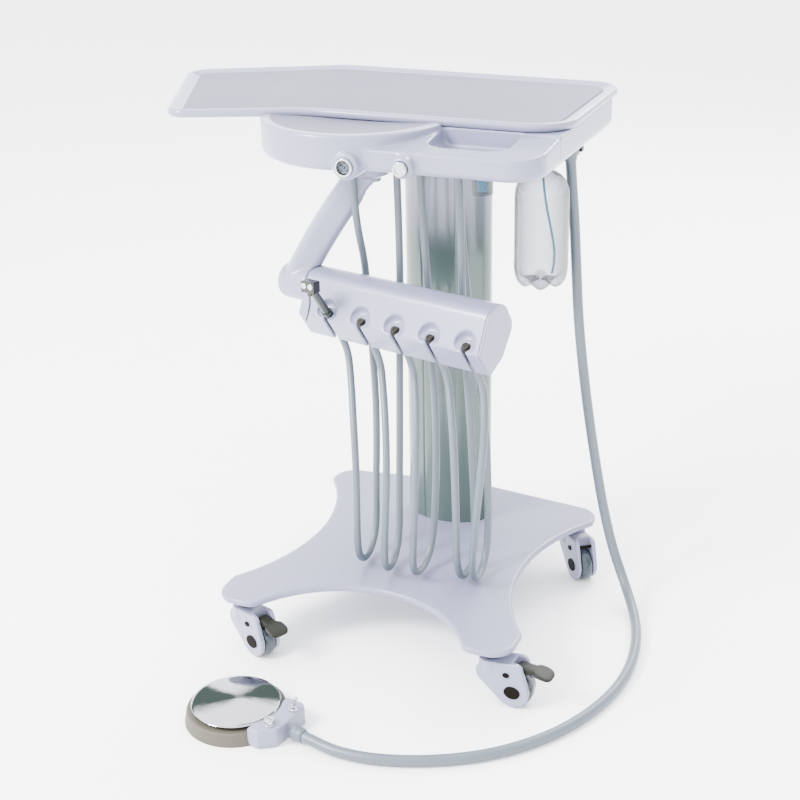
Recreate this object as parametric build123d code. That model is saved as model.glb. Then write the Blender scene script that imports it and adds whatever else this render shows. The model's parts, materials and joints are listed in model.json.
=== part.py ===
"""Mobile dental delivery cart: tray head on a column, castered base, instrument holder on a
swinging arm, air-water syringe, water bottle, instrument hoses and a foot control on a hose.

Millimetres, +Z up. The cart is laid out about the centre of its base plate on the floor, and
is then placed so that the origin lies under the middle of the whole object.
"""
from build123d import *
import math
import os

os.makedirs("parts", exist_ok=True)

# ---------------------------------------------------------------- driving dimensions
BASE_X, BASE_Y = 94.5, 64.8        # base centre, seen from the object's origin

PLATE_TOP, PLATE_THICK = 104.0, 10.0
SWIVEL_X, SWIVEL_Y = 215.0, 218.0   # caster swivel axes
LEG_END_R = 38.0
FRONT_CUT_R, FRONT_CUT_Y = 200.0, -344.0
SIDE_CUT_R, SIDE_CUT_X, SIDE_CUT_Y = 330.0, 518.0, 10.0

COLUMN_Y = 165.0
COLUMN_HALF_X, COLUMN_HALF_Y, COLUMN_WALL = 75.0, 49.0, 3.0
COLUMN_TOP = 782.0
FLANGE_THICK = 6.0

WHEEL_R, WHEEL_WIDTH, HUB_R, AXLE_R = 29.0, 20.0, 20.0, 4.0
TRAIL = 40.0
FORK_WIDTH, FORK_TOP = 38.0, 76.0
FORK_PIN_HALF = 16.0                # half length of the fork's blind cross pins
TIE_PIN = (12.0, 55.0)
STEM_R = 5.5
FIT = 0.05                          # radial clearance of a running fit
LEVER_X, LEVER_Z = 50.0, 66.0
CASTER_TRAIL_DEG = {"front_right": -3.0, "front_left": -26.0, "rear_right": -50.0, "rear_left": 38.0}

BODY_BOTTOM, BODY_TOP = 788.0, 836.0
TRAY_BOTTOM, TRAY_TOP = 836.0, 850.0
TRAY_RIM, TRAY_RECESS = 22.0, 6.0
TRAY_FRONT_Y = 7.0
LOBE_X, LOBE_Y, LOBE_R, LOBE_RIM = -98.0, 25.0, 150.0, 13.0
LOBE_TOP = 843.0
BODY_LEFT, BODY_RIGHT, BODY_FRONT, BODY_BACK = -150.0, 238.0, -108.0, 335.0
COVER_TOP = 793.0
POCKET_CENTRE, POCKET_SIZE, POCKET_FLOOR = (115.0, -31.0), (126.0, 80.0), 807.0
WALL = 18.0

GAUGE_X, GAUGE_Z, GAUGE_R = -53.0, 798.0, 14.0
KNOB_X, KNOB_Z, KNOB_R = 37.0, 803.0, 11.0
PANEL_Y = -125.0

FILTER_X, FILTER_Y, FILTER_R = 118.0, -2.0, 17.0
BOTTLE_X, BOTTLE_Y, BOTTLE_R, BOTTLE_BOTTOM = 178.0, 110.0, 43.5, 566.0
TOGGLE_X, TOGGLE_Y = 212.0, (178.0, 204.0)

ARM_X, ARM_Y = -88.0, 50.0          # the arm's swing axis
ARM_HUB_R, ARM_HUB_LOW, ARM_HUB_HIGH = 31.0, 742.0, 778.0
ARM_WIDTH, ARM_DEPTH = 46.0, 50.0
ELBOW = Vector(-208, 12, 562)
ELBOW_R = 30.0

HOLDER_TURN = -13.2                 # degrees about +Z
HOLDER_TIP = Vector(-175.8, -12.1, 483)   # lower edge of the holder's left end
HOLDER_LENGTH = 346.0
CAP_THICK = 4.0
SLOT_FIRST, SLOT_PITCH, SLOT_COUNT = 55.0, 66.0, 5
SLOT_BORE_R, SLOT_SLIT, RECESS_R = 7.5, 8.0, 19.0
FACET_DEPTH, FACET_HEIGHT = 30.0, 43.0    # the front lower facet, from the tip to the kink
BORE_INSET = 11.0

HOSE_D = 12.0
FOOT_HOSE_D = 17.0

PEDAL_X, PEDAL_Y, PEDAL_R = -132.0, -410.0, 80.0
PEDAL_TURN = -12.0
DISC_R, DISC_LOW, DISC_EDGE, DISC_DOME = 69.0, 26.0, 3.0, 3.5

# Routes of the hoses' centre lines, in the base's frame, from the head to the far end.
HOSE_ROUTES = {
    "hose_1": [(-98, 0, 784), (-97, 1, 728), (-98, 14, 662), (-99, 42, 597), (-101, 54, 525),
               (-94, 50, 448), (-82, 33, 370), (-73, 12, 294), (-68, -8, 218), (-66, -14, 148),
               (-64, -42, 117), (-61, -83, 117), (-58, -111, 146), (-57, -112, 222), (-64, -94, 295),
               (-78, -68, 355), (-99, -26, 412)],
    "hose_2": [(-40, 40, 784), (-39, 41, 728), (-38, 42, 640), (-37, 40, 550), (-37, 33, 460), (-33, 20, 380),
               (-27, 2, 300), (-20, -20, 222), (-17, -30, 148), (-14, -58, 117), (-9, -99, 117),
               (-4, -127, 146), (0, -128, 222), (-3, -110, 295), (-14, -84, 355), (-32, -48, 410)],
    "hose_3": [(4, 28, 784), (6, 29, 728), (11, 30, 640), (18, 27, 550), (25, 19, 460), (35, 8, 380),
               (42, -6, 300), (45, -20, 222), (43, -28, 148), (41, -54, 117), (40, -95, 117),
               (44, -123, 146), (49, -125, 222), (47, -112, 295), (42, -93, 355), (30, -62, 412)],
    "hose_4": [(74, 16, 784), (75, 17, 728), (77, 18, 640), (80, 14, 550), (88, 8, 460), (98, -1, 380),
               (106, -10, 300), (112, -18, 222), (113, -16, 148), (114, -40, 117), (115, -80, 117),
               (116, -108, 146), (116, -112, 222), (113, -108, 295), (106, -95, 355), (94, -74, 412)],
    "hose_5": [(56, 64, 784), (57, 65, 728), (62, 62, 645), (74, 51, 565), (92, 34, 485), (111, 18, 405),
               (126, 4, 325), (134, -11, 240), (135, -14, 152), (136, -40, 119), (138, -81, 118),
               (141, -109, 147), (147, -114, 222), (154, -112, 295), (157, -102, 355), (154, -84, 412)],
}
FOOT_HOSE_ROUTE = [(210, 150, 776), (213, 156, 722), (217, 162, 660), (223, 159, 585), (231, 152, 500),
                   (242, 150, 415), (253, 156, 328), (266, 162, 242), (281, 165, 160), (302, 160, 85),
                   (332, 138, 32), (366, 78, 10), (390, 0, 9.5), (400, -95, 9.5), (385, -190, 9.5),
                   (344, -285, 9.5), (280, -362, 9.5), (205, -412, 9.5), (125, -442, 9.5), (62, -449, 10),
                   (18, -442, 12), (-20, -433.5, 16)]


# ---------------------------------------------------------------- helpers
def direction(degrees):
    """Unit vector in the floor plane."""
    return Vector(math.cos(math.radians(degrees)), math.sin(math.radians(degrees)), 0)


def write(node, *solids):
    """Moves the solids from the base's frame to the object's frame and writes them."""
    placed = [Pos(BASE_X, BASE_Y, 0) * solid for solid in solids]
    shape = placed[0] if len(placed) == 1 else Compound(children=[part for item in placed for part in item.solids()])
    export_step(shape, f"parts/{node}.step")


def ring(outer_r, inner_r, height):
    """Upright tube standing on its frame's floor."""
    low = (Align.CENTER, Align.CENTER, Align.MIN)
    return Cylinder(outer_r, height, align=low) - Cylinder(inner_r, height, align=low)


def post(radius, low, high, x=0.0, y=0.0):
    """Upright cylinder between two heights."""
    return Pos(x, y, low) * Cylinder(radius, high - low, align=(Align.CENTER, Align.CENTER, Align.MIN))


def rod(start, end, radius):
    """Cylinder between two points."""
    start, end = Vector(*start), Vector(*end)
    run = end - start
    return extrude(Plane(origin=start, z_dir=run) * Circle(radius), amount=run.length)


def hose(name, points, diameter):
    """Straight runs joined by tangent arcs, each as large as its two runs allow."""
    points = [Vector(*point) for point in points]
    radii = []
    for before, here, after in zip(points, points[1:], points[2:]):
        arriving, leaving = here - before, after - here
        half_turn = math.radians(arriving.get_angle(leaving)) / 2
        radii.append(0.45 * min(arriving.length, leaving.length) / math.tan(half_turn))
    path = FilletPolyline(*points, radius=radii)
    section = Plane(origin=path @ 0, z_dir=path % 0) * Circle(diameter / 2)
    tube = sweep(section, path=path)
    ideal = math.pi * diameter ** 2 / 4 * path.length
    print(f"{name}: length {path.length:.0f}, volume/ideal {tube.volume / ideal:.4f}, "
          f"radii {[round(radius) for radius in radii]}")
    return tube


# ---------------------------------------------------------------- base and column
def swivel_points():
    return {"front_right": (SWIVEL_X, -SWIVEL_Y), "front_left": (-SWIVEL_X, -SWIVEL_Y),
            "rear_right": (SWIVEL_X, SWIVEL_Y), "rear_left": (-SWIVEL_X, SWIVEL_Y)}


def column_section(grow=0.0):
    return Ellipse(COLUMN_HALF_X + grow, COLUMN_HALF_Y + grow)


def base_bolt_points():
    return [(x, COLUMN_Y + y) for x in (-42, 42) for y in (-22, 22)]


def make_base():
    corners = [Pos(x, y) * Circle(LEG_END_R) for x, y in swivel_points().values()]
    back_swell = Pos(0, COLUMN_Y) * Circle(118)
    outline = make_hull(Sketch(children=[*corners, back_swell]).edges())
    outline -= Pos(0, FRONT_CUT_Y) * Circle(FRONT_CUT_R)
    for side in (-1, 1):
        outline -= Pos(side * SIDE_CUT_X, SIDE_CUT_Y) * Circle(SIDE_CUT_R)
    sharp = [v for v in outline.vertices() if abs(v.Y) < 275 and (v.Y < -195 or abs(v.X) > 255)]
    outline = fillet(sharp, 24)
    plate = Pos(0, 0, PLATE_TOP - PLATE_THICK) * extrude(outline, amount=PLATE_THICK)
    plate = fillet(plate.faces().sort_by(Axis.Z)[-1].edges(), 3.5)
    for x, y in base_bolt_points():
        plate -= post(4.2, PLATE_TOP - PLATE_THICK, PLATE_TOP, x, y)
    for x, y in swivel_points().values():
        plate -= post(STEM_R, PLATE_TOP - PLATE_THICK, PLATE_TOP - 2, x, y)
    write("base_plate", plate)

    stems = []
    for x, y in swivel_points().values():
        stem = post(STEM_R, 58, PLATE_TOP - 2, x, y)
        nut_low = FORK_TOP + 3
        nut = Pos(x, y, nut_low) * extrude(RegularPolygon(11, 6), amount=PLATE_TOP - PLATE_THICK - nut_low)
        stems.append(stem + nut + post(13, FORK_TOP + 1, nut_low, x, y))
    write("caster_stems", *stems)

    bolts = []
    for x, y in base_bolt_points():
        head = Pos(x, y, PLATE_TOP - PLATE_THICK - 6) * extrude(RegularPolygon(7.5, 6), amount=6)
        bolts.append(head + post(4.15, PLATE_TOP - PLATE_THICK, PLATE_TOP + 8, x, y))
    write("column_bolts", *bolts)

    column = Pos(0, COLUMN_Y, PLATE_TOP) * extrude(column_section(), amount=COLUMN_TOP - PLATE_TOP)
    hollow_low = PLATE_TOP + 10
    column -= Pos(0, COLUMN_Y, hollow_low) * extrude(column_section(-COLUMN_WALL), amount=COLUMN_TOP - hollow_low)
    for x, y in base_bolt_points():
        column -= post(4.15, PLATE_TOP, PLATE_TOP + 8, x, y)
    write("column", column)

    flange = Pos(0, COLUMN_Y, COLUMN_TOP) * extrude(column_section(14), amount=FLANGE_THICK)
    flange += Pos(0, COLUMN_Y, COLUMN_TOP - 14) * extrude(column_section(-COLUMN_WALL), amount=14)
    flange -= Pos(0, COLUMN_Y, COLUMN_TOP - 14) * extrude(Ellipse(45, 26), amount=14 + FLANGE_THICK)
    write("head_flange", flange)


# ---------------------------------------------------------------- casters
def upright_plane():
    """Sketch plane with local x along the trail and local y up, centred across the fork."""
    return Plane(origin=(0, 0, 0), x_dir=(1, 0, 0), z_dir=(0, -1, 0))


def across(shape_2d, half_width):
    """Extrudes a trail-plane sketch to both sides of the fork's middle."""
    return extrude(upright_plane() * shape_2d, amount=half_width, both=True)


def make_fork():
    rounds = [Pos(-2, 54) * Circle(19), Pos(38.5, 30) * Circle(28), Pos(45, 68) * Circle(11)]
    cheek = make_hull(Sketch(children=rounds).edges())
    fork = fillet(across(cheek, FORK_WIDTH / 2).edges(), 2.5)
    fork += post(21, 54, FORK_TOP)
    fork = fork - post(14, FORK_TOP - 2, FORK_TOP) - post(STEM_R + FIT, 56, FORK_TOP)
    inner = WHEEL_WIDTH / 2 + 1.5
    fork -= across(Pos(TRAIL, WHEEL_R) * Circle(WHEEL_R + 3), inner)
    fork -= across(Pos(TRAIL + 20, 0) * Rectangle(90, WHEEL_R * 2), inner)
    fork -= across(Pos(62, 66) * Rectangle(48, 30), inner)
    fork -= across(Pos(TRAIL, WHEEL_R) * Circle(AXLE_R + FIT), FORK_WIDTH)
    fork -= across(Pos(*TIE_PIN) * Circle(2.5), FORK_PIN_HALF)
    fork -= across(Pos(LEVER_X, LEVER_Z) * Circle(2.5), FORK_PIN_HALF)
    return fork


def make_wheel():
    hub = across(Pos(TRAIL, WHEEL_R) * (Circle(HUB_R) - Circle(AXLE_R + FIT)), WHEEL_WIDTH / 2 - 1)
    tyre = across(Pos(TRAIL, WHEEL_R) * (Circle(WHEEL_R) - Circle(HUB_R)), WHEEL_WIDTH / 2)
    rim_edges = tyre.edges().filter_by(GeomType.CIRCLE).filter_by(lambda e: e.radius > WHEEL_R - 0.1)
    return hub, fillet(rim_edges, 3)


def make_pins():
    """Axle, tie pin and lever pin of one caster, with the oval caps on its cheeks."""
    half = FORK_WIDTH / 2
    pins = [across(Pos(TRAIL, WHEEL_R) * Circle(AXLE_R), half),
            across(Pos(*TIE_PIN) * Circle(2.5), FORK_PIN_HALF),
            across(Pos(LEVER_X, LEVER_Z) * Circle(2.5), FORK_PIN_HALF)]
    for side in (-1, 1):
        for x, z, wide, tall in ((TRAIL, WHEEL_R, 13, 10.5), (30, 58, 5.5, 4)):
            plane = Plane(origin=(x, side * half, z), x_dir=(1, 0, 0), z_dir=(0, side, 0))
            pins.append(extrude(plane * Ellipse(wide, tall), amount=2))
    return pins


def make_brake_lever():
    arm = Polygon((42, 61), (56, 58), (62, 62), (80, 62), (98, 58), (100, 62), (82, 69), (60, 72), (46, 72),
                  align=None)
    lever = across(arm, WHEEL_WIDTH / 2)
    pedal = Polygon((70, 61.5), (80, 62), (98, 58), (100, 62), (82, 69), (70, 70.7), align=None)
    lever += across(pedal, 15)
    return lever - across(Pos(LEVER_X, LEVER_Z) * Circle(2.5 + FIT), 20)


def make_casters():
    fork, wheel, pins, lever = make_fork(), make_wheel(), make_pins(), make_brake_lever()
    for name, (x, y) in swivel_points().items():
        place = Pos(x, y, 0) * Rot(0, 0, CASTER_TRAIL_DEG[name])
        write(f"caster_fork_{name}", place * fork)
        write(f"caster_wheel_{name}", *[place * piece for piece in wheel])
        write(f"caster_pins_{name}", *[place * piece for piece in pins])
        if name.startswith("front"):
            write(f"brake_lever_{name}", place * lever)


# ---------------------------------------------------------------- tray and head
def tray_outline():
    corners = [((-382, -75), 32), ((-518, 236), 45), ((-265, 361), 90), ((242, 350), 55),
               ((245, TRAY_FRONT_Y), 70), ((-171, TRAY_FRONT_Y), 150)]
    outline = make_face(Polyline(*[point for point, _ in corners], close=True))
    for (x, y), radius in corners:
        corner = outline.vertices().sort_by_distance((x, y, 0))[0]
        outline = fillet(corner, radius)
    return outline


def make_tray():
    outline = tray_outline()
    tray = Pos(0, 0, TRAY_BOTTOM) * extrude(outline, amount=TRAY_TOP - TRAY_BOTTOM)
    tray = fillet(tray.faces().sort_by(Axis.Z)[-1].edges(), 4)
    tray = fillet(tray.faces().sort_by(Axis.Z)[0].edges(), 3)
    well = offset(outline, amount=-TRAY_RIM)
    floor = TRAY_TOP - TRAY_RECESS
    tray -= Pos(0, 0, floor) * extrude(well, amount=TRAY_RECESS + 1, taper=-35)
    write("tray", tray)
    mat = Pos(0, 0, floor) * extrude(offset(well, amount=-2), amount=1.5)
    write("tray_mat", mat)


def body_outline():
    box = Pos((BODY_LEFT + BODY_RIGHT) / 2, (BODY_FRONT + BODY_BACK) / 2) * RectangleRounded(
        BODY_RIGHT - BODY_LEFT, BODY_BACK - BODY_FRONT, 52)
    return box + Pos(LOBE_X, LOBE_Y) * Circle(LOBE_R)


def front_cylinder(radius, x, z, y_from, y_to):
    """Cylinder along Y between two depths."""
    return rod((x, y_from, z), (x, y_to, z), radius)


def make_body():
    outline = body_outline()
    shell = Pos(0, 0, BODY_BOTTOM) * extrude(outline, amount=BODY_TOP - BODY_BOTTOM)
    shell = fillet(shell.faces().sort_by(Axis.Z)[0].edges(), 13)
    slope = Plane.YZ * Polygon((TRAY_FRONT_Y, BODY_TOP - 2), (-130, 820), (-130, 850), (TRAY_FRONT_Y, 850),
                               align=None)
    slope = extrude(slope, amount=300, both=True)
    lobe_disc = Pos(LOBE_X, LOBE_Y) * Circle(LOBE_R)
    lobe_column = Pos(0, 0, 760) * extrude(lobe_disc, amount=120)
    shell -= slope - lobe_column
    crown = Pos(0, 0, BODY_TOP) * extrude(lobe_disc, amount=LOBE_TOP - BODY_TOP)
    crown = fillet(crown.faces().sort_by(Axis.Z)[-1].edges(), 4)
    crown -= Pos(0, 0, BODY_TOP) * extrude(offset(tray_outline(), amount=0.3), amount=20)
    dish_depth = 6.0
    dish_rim_r = LOBE_R - LOBE_RIM
    ball_r = (dish_rim_r ** 2 + dish_depth ** 2) / (2 * dish_depth)
    crown -= Pos(LOBE_X, LOBE_Y, LOBE_TOP - dish_depth + ball_r) * Sphere(ball_r)
    shell += crown
    shoulder = Plane.XZ * Polygon((200, 850), (252, 850), (252, 796), (244, 796), (200, 838), align=None)
    shell -= extrude(shoulder, amount=140) & extrude(Pos(200, -70, 760) * Rectangle(140, 146), amount=120)
    pocket = Pos(*POCKET_CENTRE, POCKET_FLOOR) * extrude(Rectangle(*POCKET_SIZE), amount=40)
    corners = pocket.edges().filter_by(Axis.Z).sort_by(Axis.Y)[:2]
    pocket = fillet(corners, 26)
    shell -= fillet(pocket.faces().sort_by(Axis.Z)[0].edges().sort_by(Axis.Y)[:-1], 14)
    for x, z, radius in ((GAUGE_X, GAUGE_Z, 21), (KNOB_X, KNOB_Z, 16.5)):
        boss = front_cylinder(radius, x, z, -70, PANEL_Y)
        shell += fillet(boss.faces().sort_by(Axis.Y)[0].edges(), 4)
    inner = offset(outline, amount=-WALL)
    shell -= Pos(0, 0, BODY_BOTTOM - 1) * extrude(offset(outline, amount=3 - WALL), amount=COVER_TOP - BODY_BOTTOM + 1)
    shell -= Pos(0, 0, COVER_TOP) * extrude(inner, amount=POCKET_FLOOR - 4 - COVER_TOP)
    high_room = Pos(40, 170) * Rectangle(330, 285)
    shell -= Pos(0, 0, COVER_TOP) * extrude(high_room & inner, amount=BODY_TOP - 4 - COVER_TOP)
    shell -= front_cylinder(GAUGE_R - 1.5, GAUGE_X, GAUGE_Z, -60, PANEL_Y)
    shell -= front_cylinder(4.05, KNOB_X, KNOB_Z, -60, PANEL_Y)
    write("body_shell", shell)

    cover = Pos(0, 0, BODY_BOTTOM) * extrude(offset(outline, amount=2.8 - WALL), amount=COVER_TOP - BODY_BOTTOM)
    for points in HOSE_ROUTES.values():
        cover -= post(9, BODY_BOTTOM, COVER_TOP, points[0][0], points[0][1])
    cover -= post(11, BODY_BOTTOM, COVER_TOP, FOOT_HOSE_ROUTE[0][0], FOOT_HOSE_ROUTE[0][1])
    cover -= front_cylinder(GAUGE_R + 8, GAUGE_X, GAUGE_Z, -60, -110)
    cover -= front_cylinder(17.5, KNOB_X, KNOB_Z, -60, -110)
    for y in TOGGLE_Y:
        cover -= Pos(TOGGLE_X - 9, y, BODY_BOTTOM) * Box(12, 14, 20)
    write("body_cover", cover)

    block = Pos(40, 200, COVER_TOP) * Box(150, 90, 30, align=(Align.CENTER, Align.CENTER, Align.MIN))
    for x in (-10, 15, 40, 65, 90):
        block += rod((x, 155, COVER_TOP + 15), (x, 143, COVER_TOP + 15), 4)
    write("control_block", block)

    glands = []
    for points in HOSE_ROUTES.values():
        x, y = points[0][0], points[0][1]
        tip = Pos(x, y, 776) * Cone(8.0, 10.5, 12, align=(Align.CENTER, Align.CENTER, Align.MIN))
        glands.append(tip + post(9, BODY_BOTTOM, COVER_TOP, x, y) - post(HOSE_D / 2, 775, 784, x, y))
    x, y = FOOT_HOSE_ROUTE[0][0], FOOT_HOSE_ROUTE[0][1]
    tip = Pos(x, y, 764) * Cone(10.5, 13.5, 24, align=(Align.CENTER, Align.CENTER, Align.MIN))
    along = Vector(*FOOT_HOSE_ROUTE[0]) - Vector(*FOOT_HOSE_ROUTE[1])
    bore = rod(Vector(*FOOT_HOSE_ROUTE[0]) - along * 0.5, FOOT_HOSE_ROUTE[0], FOOT_HOSE_D / 2)
    glands.append(tip + post(11, BODY_BOTTOM, COVER_TOP, x, y) - bore)
    write("hose_glands", *glands)


def make_gauge_and_knob():
    face = PANEL_Y
    case = front_cylinder(GAUGE_R - 1.5, GAUGE_X, GAUGE_Z, -82, face)
    bezel = front_cylinder(GAUGE_R, GAUGE_X, GAUGE_Z, face, face - 5)
    bezel = fillet(bezel.faces().sort_by(Axis.Y)[0].edges(), 1.2)
    bezel = case + bezel - front_cylinder(GAUGE_R - 3, GAUGE_X, GAUGE_Z, face + 2, face - 5)
    write("gauge_bezel", bezel)
    dial = front_cylinder(GAUGE_R - 3, GAUGE_X, GAUGE_Z, face + 2, face + 1)
    hub = front_cylinder(0.8, GAUGE_X, GAUGE_Z, face + 1, face - 1.6)
    write("gauge_dial", dial + hub)
    needle = Box(9.5, 0.6, 1.1, align=(Align.MIN, Align.CENTER, Align.CENTER))
    needle = Pos(-2, 0, 0) * needle + front_cylinder(1.8, 0, 0, 0.3, -0.3)
    needle = Rot(0, -55 - 90, 0) * needle
    needle = Pos(GAUGE_X, face - 0.6, GAUGE_Z) * needle - front_cylinder(0.85, GAUGE_X, GAUGE_Z, face, face - 3)
    write("gauge_needle", needle)
    lens = front_cylinder(GAUGE_R - 3, GAUGE_X, GAUGE_Z, face - 2.2, face - 3.6)
    write("gauge_lens", lens)

    knob = front_cylinder(KNOB_R, KNOB_X, KNOB_Z, face - 0.6, face - 7)
    knob = fillet(knob.faces().sort_by(Axis.Y)[0].edges(), 1.5)
    knob -= front_cylinder(KNOB_R - 3.5, KNOB_X, KNOB_Z, face - 5.5, face - 7)
    knob += front_cylinder(4, KNOB_X, KNOB_Z, -86, face - 0.6)
    write("control_knob", knob)


def make_water_parts():
    head = post(FILTER_R + 2, 776, BODY_BOTTOM, FILTER_X, FILTER_Y) + post(5, 770, 776, FILTER_X, FILTER_Y)
    write("filter_head", head)
    bowl = post(FILTER_R, 740, 775.9, FILTER_X, FILTER_Y)
    bowl = fillet(bowl.faces().sort_by(Axis.Z)[0].edges(), 3)
    bowl -= post(FILTER_R - 2, 742, 775.9, FILTER_X, FILTER_Y)
    write("filter_bowl", bowl)
    write("filter_element", post(8, 746, 770, FILTER_X, FILTER_Y))

    neck_r, thread_low, neck_top = 14.0, 758.0, 776.0
    profile = [(0, BOTTLE_BOTTOM + 8), (16, BOTTLE_BOTTOM), (30, BOTTLE_BOTTOM), (BOTTLE_R - 2, BOTTLE_BOTTOM + 16),
               (BOTTLE_R, BOTTLE_BOTTOM + 34), (BOTTLE_R, 722), (BOTTLE_R - 4, 736), (30, 748), (neck_r + 3, 755),
               (neck_r, thread_low), (neck_r, neck_top), (0, neck_top)]
    outer = revolve(Plane.XZ * make_face(Polyline(*profile, close=True)), axis=Axis.Z)
    wall = 1.5
    inside = [(0, BOTTLE_BOTTOM + 10), (16, BOTTLE_BOTTOM + 2.2), (29, BOTTLE_BOTTOM + 2.2),
              (BOTTLE_R - 4, BOTTLE_BOTTOM + 17), (BOTTLE_R - wall, BOTTLE_BOTTOM + 34), (BOTTLE_R - wall, 721),
              (BOTTLE_R - 4 - wall, 734.5), (29, 746), (neck_r + 1, 753.5), (neck_r - wall, thread_low),
              (neck_r - wall, neck_top), (0, neck_top)]
    inner = revolve(Plane.XZ * make_face(Polyline(*inside, close=True)), axis=Axis.Z)
    write("bottle", Pos(BOTTLE_X, BOTTLE_Y, 0) * (outer - inner))
    cap = post(20, 762, BODY_BOTTOM) - post(neck_r + FIT, 762, neck_top + 0.1)
    cap = fillet(cap.faces().sort_by(Axis.Z)[0].edges().sort_by(SortBy.RADIUS)[-1], 2)
    write("bottle_cap", Pos(BOTTLE_X, BOTTLE_Y, 0) * cap)
    tube = [(0, 0, neck_top), (1, 0, 740), (6, 2, 700), (16, 4, 655), (24, 2, 612), (20, -4, 590)]
    write("pickup_tube", Pos(BOTTLE_X, BOTTLE_Y, 0) * hose("pickup_tube", tube, 4.0))

    for name, y in zip(("water_toggle", "air_toggle"), TOGGLE_Y):
        x = TOGGLE_X - 9
        toggle = Pos(x, y, 782) * Box(8, 12, 20) + rod((x, y - 7, 790), (x, y + 7, 790), 3)
        write(name, toggle + Pos(x + 5, y, 770) * Box(14, 12, 8))


# ---------------------------------------------------------------- arm, holder and instruments
def make_arm():
    pivot = post(33, 779, BODY_BOTTOM, ARM_X, ARM_Y) + post(9, 732, 779, ARM_X, ARM_Y)
    pivot += post(16, 732, ARM_HUB_LOW - 1, ARM_X, ARM_Y)
    write("arm_pivot", pivot)

    start = Vector(ARM_X, ARM_Y, 757)
    reach = Vector(ELBOW.X - ARM_X, ELBOW.Y - ARM_Y, 0)
    middle = start + reach * 0.6 + Vector(0, 0, -104)
    path = ThreePointArc(start, middle, ELBOW)
    side = reach.cross(Vector(0, 0, 1))
    section = Plane(origin=path @ 0, x_dir=side, z_dir=path % 0) * RectangleRounded(ARM_WIDTH, ARM_DEPTH, 15)
    arm = sweep(section, path=path)
    hub = post(ARM_HUB_R, ARM_HUB_LOW, ARM_HUB_HIGH, ARM_X, ARM_Y)
    arm += fillet(hub.edges().filter_by(GeomType.CIRCLE), 5)
    along = direction(HOLDER_TURN)
    reach_to_face = (HOLDER_TIP - ELBOW).dot(along)
    elbow = rod(ELBOW - along * 24, ELBOW + along * reach_to_face, ELBOW_R)
    arm += fillet(elbow.faces().sort_by(Axis.X)[0].edges(), 12)
    holder_end = Plane(origin=HOLDER_TIP, x_dir=direction(HOLDER_TURN + 90), z_dir=along)
    arm -= holder_end * Pos(0, 25) * extrude(Rectangle(300, 170), amount=120)
    arm -= post(60, ARM_HUB_HIGH, ARM_HUB_HIGH + 30, ARM_X, ARM_Y)
    arm -= post(18, ARM_HUB_LOW - 60, ARM_HUB_LOW, ARM_X, ARM_Y)
    arm -= post(9 + FIT, ARM_HUB_LOW - 1, ARM_HUB_HIGH + 1, ARM_X, ARM_Y)
    write("arm", arm)


def holder_section():
    outline = [((0, 0), 2.5), ((-30, 43), 4), ((-2, 104), 20), ((38, 112), 28), ((66, 66), 24), ((36, 20), 22)]
    section = make_face(Polyline(*[point for point, _ in outline], close=True))
    for (x, y), radius in outline:
        section = fillet(section.vertices().sort_by_distance((x, y, 0))[0], radius)
    return section


def slot_plane(index):
    """Frame on a recess's floor: z up along the bore, x along the holder."""
    along = direction(HOLDER_TURN)
    back = direction(HOLDER_TURN + 90)
    length = math.hypot(FACET_DEPTH, FACET_HEIGHT)
    axis = back * (-FACET_DEPTH / length) + Vector(0, 0, FACET_HEIGHT / length)
    inward = back * (FACET_HEIGHT / length) + Vector(0, 0, FACET_DEPTH / length)
    kink = HOLDER_TIP + back * -FACET_DEPTH + Vector(0, 0, FACET_HEIGHT)
    origin = kink + along * (SLOT_FIRST + index * SLOT_PITCH) + inward * BORE_INSET
    return Plane(origin=origin, x_dir=along, z_dir=axis)


def make_holder():
    along = direction(HOLDER_TURN)
    back = direction(HOLDER_TURN + 90)
    plane = Plane(origin=HOLDER_TIP, x_dir=back, z_dir=along)
    section = holder_section()
    holder = plane * extrude(section, amount=HOLDER_LENGTH)
    hollow = plane * Pos(0, 0, 5) * extrude(offset(section, amount=-4.5), amount=HOLDER_LENGTH - 5)
    for index in range(SLOT_COUNT):
        frame = slot_plane(index)
        hollow -= frame * (post(RECESS_R + 4, -4, 60) + post(SLOT_BORE_R + 3, -70, 0))
        hollow -= frame * Pos(0, -12, -30) * Box(SLOT_SLIT + 6, 30, 76)
    holder -= hollow
    for index in range(SLOT_COUNT):
        frame = slot_plane(index)
        scoop = post(RECESS_R, 0, 70)
        scoop = fillet(scoop.faces().sort_by(Axis.Z)[0].edges(), 6)
        holder -= frame * scoop
        holder -= frame * post(SLOT_BORE_R, -80, 0.1)
        holder -= frame * Pos(0, -15, -37) * Box(SLOT_SLIT, 30, 76)
    write("holder", holder)
    cap = plane * Pos(0, 0, HOLDER_LENGTH) * extrude(section, amount=CAP_THICK)
    write("holder_end_cap", cap)


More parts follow.
